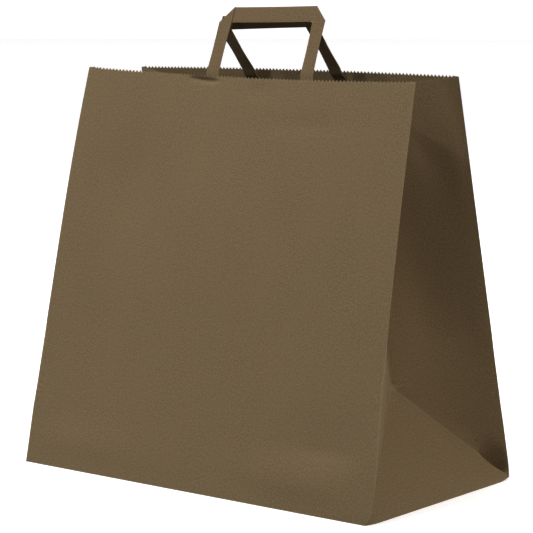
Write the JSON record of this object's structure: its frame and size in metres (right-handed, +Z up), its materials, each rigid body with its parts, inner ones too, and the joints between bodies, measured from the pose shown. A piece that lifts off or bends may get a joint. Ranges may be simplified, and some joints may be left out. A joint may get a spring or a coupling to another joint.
{
  "type": "paper carrier bag",
  "caption": "Open brown paper carrier bag with side gussets, a flat block bottom, a zigzag rim and folded paper tape handles.",
  "frame": {"origin": "middle of the underside of the block bottom", "axes": "+Z up, the front panel faces -Y, +X to the right seen from the front"},
  "size_m": [0.32, 0.176, 0.3434],
  "materials": {
    "kraft_sheet": "matt, unbleached, faintly mottled",
    "kraft_tape": "matt, unbleached, folded flat"
  },
  "bodies": {
    "root": {"bag_body": "kraft_sheet", "front_handle": "kraft_tape", "back_handle": "kraft_tape", "front_handle_patch": "kraft_sheet", "back_handle_patch": "kraft_sheet"}
  },
  "joints": []
}
